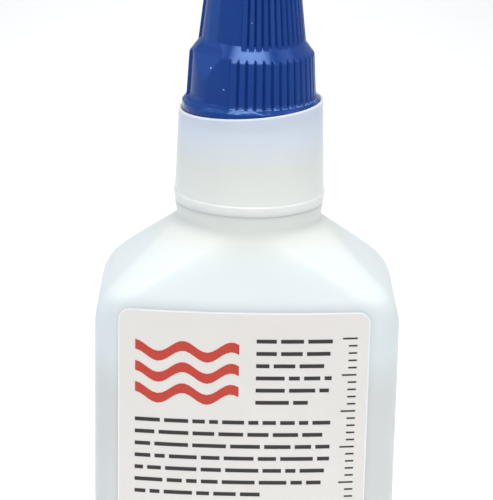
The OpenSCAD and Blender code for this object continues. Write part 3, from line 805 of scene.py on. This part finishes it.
def ridge(r, rise, low, high, phase):
    """Skin of one helical ridge between two heights; a negative rise points to the axis."""
    turns = (high - low) / LEAD
    steps = math.ceil(turns * STEPS_A_TURN)
    rings = []
    for i in range(steps + 1):
        share = i / steps
        z = low + (high - low) * share
        q = 2 * math.pi * (z / LEAD + phase)
        full = ease(min(share, 1 - share) / RUN_OUT)
        crest_r = r + rise * max(full, RUN_OUT_RISE)
        foot_r = r - math.copysign(SUNK, rise)
        wide = RUN_OUT_W + (1 - RUN_OUT_W) * full
        half_foot, half_crest = RIDGE_FOOT / 2 * wide, RIDGE_CREST / 2 * wide
        section = [(foot_r, z - half_foot), (foot_r, z + half_foot),
                   (crest_r, z + half_crest), (crest_r, z - half_crest)]
        if rise < 0:
            section.reverse()
        rings.append([(a * math.cos(q), a * math.sin(q), b) for a, b in section])
    return skin(rings)


boss_ridges = [ridge(BOSS_R, RIDGE_RISE, DECK_Z + BOSS_START, BOSS_Z - BOSS_END, i / STARTS)
               for i in range(STARTS)]
make_piece("boss_thread", boss_ridges, moulded_ldpe, "bottle_body", "ldpe_natural")
cap_ridges = [ridge(CAP_BORE_R, -RIDGE_RISE, CAP_Z + CAP_START, CAP_BORE_Z - CAP_END, (i + 0.5) / STARTS)
              for i in range(STARTS)]
make_piece("cap_thread", cap_ridges, moulded_pp, "cap_body", "pp_blue")

# %% [markdown]
# ## The sealing pin
# A pin of drawn stainless wire hangs in the roof of the cap and fills the spout's orifice when the cap is
# down. A plain cylinder would have sharp ends, so the pin is spun from a section with round ends, as the
# nozzle is. Drawing leaves fine lines along the wire, so the bump pattern is stretched along the pin.

# %% Drawn steel and the pin
# The real lines are about 0.02 mm apart and are drawn at 0.12 mm to show at all
LINE_MM, LINE_STRETCH = 0.12, 0.03

drawn_steel, tree, shader, place = finish("stainless_steel_drawn", Metallic=1)
along = add(tree, "Mapping", {"Vector": place, "Scale": (1, 1, LINE_STRETCH)}).outputs["Vector"]
lines = add(tree, "TexNoise", {"Vector": along, "Scale": per_mm(LINE_MM)}).outputs["Fac"]
steel = add(tree, "Mix", {MIX_FACTOR: lines, MIX_A: linear("#b4b6b9"), MIX_B: linear("#cdcfd1")},
            data_type="RGBA").outputs[MIX_OUT]
tree.links.new(steel, shader.inputs["Base Color"])
polish = add(tree, "MapRange", {"Value": lines, "To Min": 0.22, "To Max": 0.38}).outputs["Result"]
tree.links.new(polish, shader.inputs["Roughness"])
drawn = add(tree, "Bump", {"Height": lines, "Strength": 0.3, "Distance": 0.01 * MM}).outputs["Normal"]
tree.links.new(drawn, shader.inputs["Normal"])

pin_low, pin_high = TIP_Z - PIN_REACH, ROOF_Z + PIN_BED
pin_corners = [(PIN_R * 0.3, pin_low, 0), (PIN_R, pin_low, 0.3), (PIN_R, pin_high, 0.15),
               (PIN_R * 0.5, pin_high, 0)]
make_piece("wire_pin", [skin([spin(r, z) for r, z in rounded(pin_corners)])],
           drawn_steel, "pin_body", "steel_pin", "sealing_pin")

# %% [markdown]
# ## The label
# The label is a white polypropylene film on the front panel, satin, with a tone that drifts with its
# thickness. Film and print are slabs that follow the bow of the panel: a slab is a row of columns, each
# with a lower and an upper end, so round corners, rules and waves are all one function. A picture file is
# the usual way to print, but slabs stay sharp at any distance. The print is a plain design of wave stripes,
# rows of dark dashes and a ruler of ticks down one side.

# %% Sheets that follow the panel
LABEL_W, LABEL_H, LABEL_DOWN, LABEL_SHIFT = 32.1, 57, 0.4, -0.4
LABEL_ROUND, LABEL_T, LABEL_GAP = 1.4, 0.1, 0.04
LABEL_TOP = LEAN_Z - LABEL_DOWN
FILM_OUT = LABEL_GAP + LABEL_T
ARC_N, ROW_N = 8, 12
# Least square under the root at the outermost columns, where rounding could make it negative
ARC_MIN = 0.0004


def slab(columns, under, over):
    """Skin of a layer on the panel, from columns (x, lower z, upper z) and two heights over the panel."""
    rings = []
    for x, low, high in columns:
        q = math.asin(x / PANEL_R)
        ends = [(math.sin(q) * (PANEL_R + h), PANEL_R - HALF_D - math.cos(q) * (PANEL_R + h))
                for h in (under, over)]
        rings.append([(*ends[0], low), (*ends[0], high), (*ends[1], high), (*ends[1], low)])
    return skin(rings)


def round_sheet(grow):
    """Columns of the label's outline, grown all round by a length."""
    half, r = LABEL_W / 2 + grow, LABEL_ROUND + grow
    corner_x = [half - r + r * math.cos(math.pi / 2 * i / ARC_N) for i in range(ARC_N)]
    middle_x = [(half - r) * (i / ROW_N - 1) for i in range(2 * ROW_N + 1)]
    columns = []
    for x in [-x for x in corner_x] + middle_x + corner_x[::-1]:
        lost = r - math.sqrt(max(ARC_MIN, r ** 2 - max(0, abs(x) - half + r) ** 2))
        columns.append((LABEL_SHIFT + x, LABEL_TOP - LABEL_H - grow + lost, LABEL_TOP + grow - lost))
    return columns


print("label from", round(LABEL_TOP - LABEL_H, 2), "to", round(LABEL_TOP, 2), "mm")

# %% White film
CALIPER_MM = 7

white_film, tree, shader, place = finish("PP_film_white", IOR=1.49)
caliper = add(tree, "TexNoise", {"Vector": place, "Scale": per_mm(CALIPER_MM), "Detail": 2}).outputs["Fac"]
paper = add(tree, "Mix", {MIX_FACTOR: caliper, MIX_A: linear("#e8e2d9"), MIX_B: linear("#efe9e1")},
            data_type="RGBA").outputs[MIX_OUT]
tree.links.new(paper, shader.inputs["Base Color"])
satin = add(tree, "MapRange", {"Value": caliper, "To Min": 0.38, "To Max": 0.5}).outputs["Result"]
tree.links.new(satin, shader.inputs["Roughness"])
ripple = add(tree, "Bump", {"Height": caliper, "Strength": 0.2, "Distance": 0.03 * MM}).outputs["Normal"]
tree.links.new(ripple, shader.inputs["Normal"])
make_piece("label_film", [slab(round_sheet(0), LABEL_GAP, FILM_OUT)],
           white_film, "bottle_body", "label_film", "label")

# %% [markdown]
# A die-cut label shows a thin bright line all round: the edge of its adhesive, which is pressed out a hair
# past the film, painted near white as a highlight. It is a second, thinner sheet under the film.

# %% Adhesive under the film
EDGE_OUT, EDGE_DOWN, OOZE_MM = 0.16, 0.03, 2

adhesive_and_highlight, tree, shader, place = finish("acrylic_adhesive_and_painted_highlight", IOR=1.47, Roughness=0.35)
# Painted highlight: the adhesive is near white, brighter than the film, so the label's rim shows a bright
# line
ooze = add(tree, "TexNoise", {"Vector": place, "Scale": per_mm(OOZE_MM)}).outputs["Fac"]
adhesive_and_highlight_tone = add(tree, "Mix", {MIX_FACTOR: ooze, MIX_A: linear("#f4f6f6"), MIX_B: linear("#ffffff")},
           data_type="RGBA").outputs[MIX_OUT]
tree.links.new(adhesive_and_highlight_tone, shader.inputs["Base Color"])
make_piece("label_edge", [slab(round_sheet(EDGE_OUT), LABEL_GAP * 0.5, FILM_OUT - EDGE_DOWN)],
           adhesive_and_highlight, "bottle_body", "label_film")

# %% [markdown]
# The inks are matt and a little mottled, and lie on the film as thin as geometry allows. The dashes come
# from a seeded row of lengths, so the print is the same on every run.

# %% Inks and stripes
INK_T, MOTTLE_MM, STRIPE_STEP = 0.02, 0.4, 0.6


def ink(name, colour_a, colour_b):
    """A printing ink, with the slight mottle of a press on film."""
    material, tree, shader, place = finish(name, IOR=1.5, Roughness=0.42)
    mottle = add(tree, "TexNoise", {"Vector": place, "Scale": per_mm(MOTTLE_MM)}).outputs["Fac"]
    blot = add(tree, "Mix", {MIX_FACTOR: mottle, MIX_A: linear(colour_a), MIX_B: linear(colour_b)},
               data_type="RGBA").outputs[MIX_OUT]
    tree.links.new(blot, shader.inputs["Base Color"])
    return material


def stripe(x0, x1, low, high):
    """Printed layer between two x values; low and high are depths below the edge, or functions of x."""
    steps = max(1, math.ceil((x1 - x0) / STRIPE_STEP))
    columns = []
    for x in (x0 + (x1 - x0) * i / steps for i in range(steps + 1)):
        down = [edge(x) if callable(edge) else edge for edge in (low, high)]
        columns.append((LABEL_SHIFT + x, LABEL_TOP - down[0], LABEL_TOP - down[1]))
    return slab(columns, FILM_OUT - INK_T / 2, FILM_OUT + INK_T)


print("ink lies", INK_T, "mm over the film")

# %% Dark print
PRINT_LEFT, PRINT_RIGHT, RULER_X = -14, 11.4, 14.6
DASH_H, DASH_MIN, DASH_MAX, DASH_GAP, DASH_LEFT_OVER = 0.52, 1.1, 4.4, 0.55, 0.8
ROW_STEP = 1.68
SIDE_LEFT, SIDE_TOP, SIDE_ROWS, SIDE_SHORT = 1.6, 3.4, 6, 3
BLOCK_TOPS, BLOCK_ROWS, BLOCK_SHORT = (14.6, 27.5, 40.4), 7, 8
TICK_TOP, TICK_N, TICK_H, TICK_LONG, TICK_SHORT = 3.2, 51, 0.22, 1.9, 1.1


def dash_row(rng, x0, x1, down):
    """Row of dashes of uneven length between two x values."""
    row = []
    while x0 < x1 - DASH_LEFT_OVER:
        end = min(x1, x0 + rng.uniform(DASH_MIN, DASH_MAX))
        row.append(stripe(x0, end, down + DASH_H, down))
        x0 = end + DASH_GAP
    return row


def dash_block(rng, x0, top, rows, short):
    """Block of rows, the last of which ends short."""
    block = []
    for i in range(rows):
        x1 = PRINT_RIGHT - (short if i == rows - 1 else 0)
        block += dash_row(rng, x0, x1, top + i * ROW_STEP)
    return block


rng = random.Random(11)
dashes = dash_block(rng, SIDE_LEFT, SIDE_TOP, SIDE_ROWS, SIDE_SHORT)
for top in BLOCK_TOPS:
    dashes += dash_block(rng, PRINT_LEFT, top, BLOCK_ROWS, BLOCK_SHORT)
ticks = []
for i in range(TICK_N):
    length = TICK_LONG if i % 5 == 0 else TICK_SHORT
    ticks.append(stripe(RULER_X - length, RULER_X, TICK_TOP + i + TICK_H, TICK_TOP + i))
make_piece("label_print_dark", dashes + ticks, ink("ink_black", "#242220", "#35322f"),
           "bottle_body", "label_film")

# %% Red print
WAVE_TOP, WAVE_STEP, WAVE_H, WAVE_N = 4.6, 2.9, 1.35, 3
WAVE_RISE, WAVE_LENGTH, WAVE_RIGHT = 0.75, 6.3, -0.6


def wave(down):
    """Edge of a wave stripe."""
    return lambda x: down + WAVE_RISE * math.sin(2 * math.pi * x / WAVE_LENGTH)


wave_tops = [WAVE_TOP + WAVE_STEP * i for i in range(WAVE_N)]
waves_red = [stripe(PRINT_LEFT, WAVE_RIGHT, wave(top + WAVE_H), wave(top)) for top in wave_tops]
make_piece("label_print_red", waves_red, ink("ink_red_orange", "#c23324", "#d0452f"),
           "bottle_body", "label_film")
